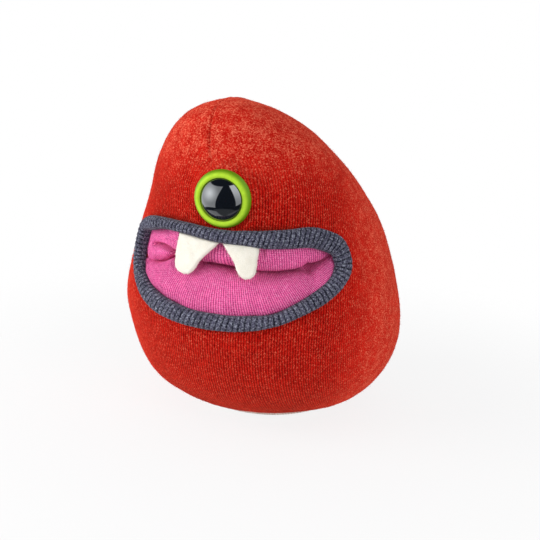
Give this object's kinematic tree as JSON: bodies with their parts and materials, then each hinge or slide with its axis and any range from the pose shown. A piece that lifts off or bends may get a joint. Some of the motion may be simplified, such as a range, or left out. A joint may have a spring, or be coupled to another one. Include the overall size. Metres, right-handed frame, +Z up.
{
  "type": "plush toy",
  "caption": "Stuffed knit blob toy with a flat round base, one clamped round safety eye and a wide pocket mouth with a rolled rib lip and felt flaps for teeth.",
  "frame": {"origin": "centre of the flat round base, on the face the toy stands on", "axes": "+Z up from the base to the crown, -Y out of the front below the leaning face, +X to the right as seen in the picture"},
  "size_m": [0.178, 0.1832, 0.2],
  "materials": {
    "body_knit": "felted red wool knit",
    "base_knit": "felted cream wool knit",
    "fibrefill": "loose polyester fibrefill",
    "rib_knit": "heathered blue grey rib knit",
    "lining_knit": "magenta jersey knit",
    "tooth_felt": "off-white wool felt",
    "iris_plastic": "glossy lime",
    "pupil_plastic": "glossy black",
    "washer_plastic": "plain white"
  },
  "bodies": {
    "toy": {"body_shell": "body_knit", "base_panel": "base_knit", "stuffing": "fibrefill", "lip_trim": "rib_knit", "mouth_lining_upper": "lining_knit", "mouth_lining_lower": "lining_knit", "eye_iris": "iris_plastic", "eye_pupil": "pupil_plastic", "eye_washer": "washer_plastic"},
    "left_fang": {"tooth_left": "tooth_felt"},
    "right_fang": {"tooth_right": "tooth_felt"}
  },
  "joints": [
    {"name": "left_fang_hinge", "type": "hinge", "parent": "toy", "child": "left_fang", "pos_m": [-0.00872, -0.09798, 0.12114], "axis": [-0.9875, 0.1052, 0.1177], "range_deg": [0, 70], "stiffness_Nm_per_rad": 0.0002},
    {"name": "right_fang_hinge", "type": "hinge", "parent": "toy", "child": "right_fang", "pos_m": [0.01381, -0.09684, 0.12077], "axis": [-0.9721, -0.2081, -0.1086], "range_deg": [0, 70], "stiffness_Nm_per_rad": 0.0002}
  ]
}
